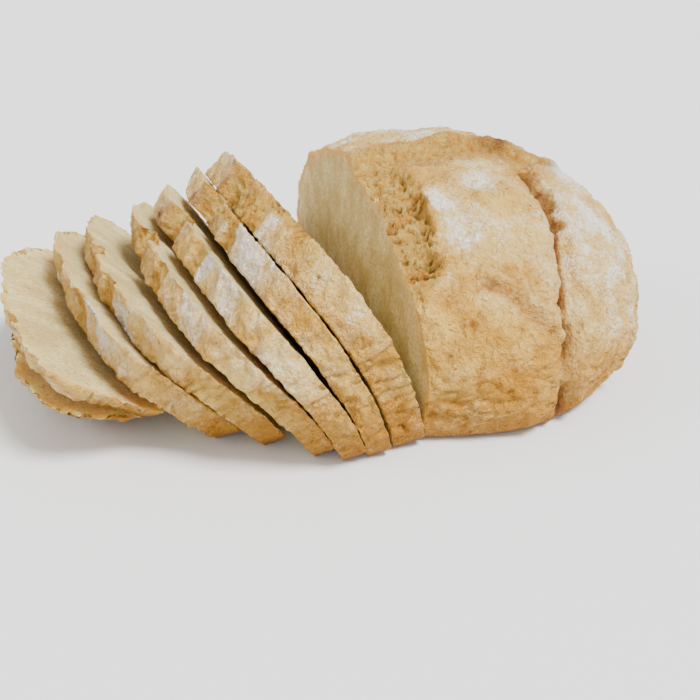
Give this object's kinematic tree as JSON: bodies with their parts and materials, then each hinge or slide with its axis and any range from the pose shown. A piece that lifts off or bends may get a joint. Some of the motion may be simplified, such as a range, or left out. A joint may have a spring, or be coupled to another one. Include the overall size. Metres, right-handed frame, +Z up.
{
  "type": "round crusty loaf, partly sliced",
  "caption": "Round white loaf with a scored, floured crust, cut up to near its middle, with its slices leaning beside it in a row and the heel under them.",
  "frame": {"origin": "middle of the round loaf, on its flat base", "axes": "+X along the loaf towards its uncut end, away from the slices; +Y across it, away from the viewer; +Z up"},
  "size_m": [0.305, 0.2648, 0.1034],
  "materials": {
    "bread": "baked, floured crust, golden where the scores opened, with a pale, fine-pored crumb on the cut faces"
  },
  "bodies": {
    "root": {"loaf_uncut": "bread", "slice_1": "bread", "slice_2": "bread", "slice_3": "bread", "slice_4": "bread", "slice_5": "bread", "slice_6": "bread", "slice_7": "bread", "heel": "bread"}
  },
  "joints": []
}
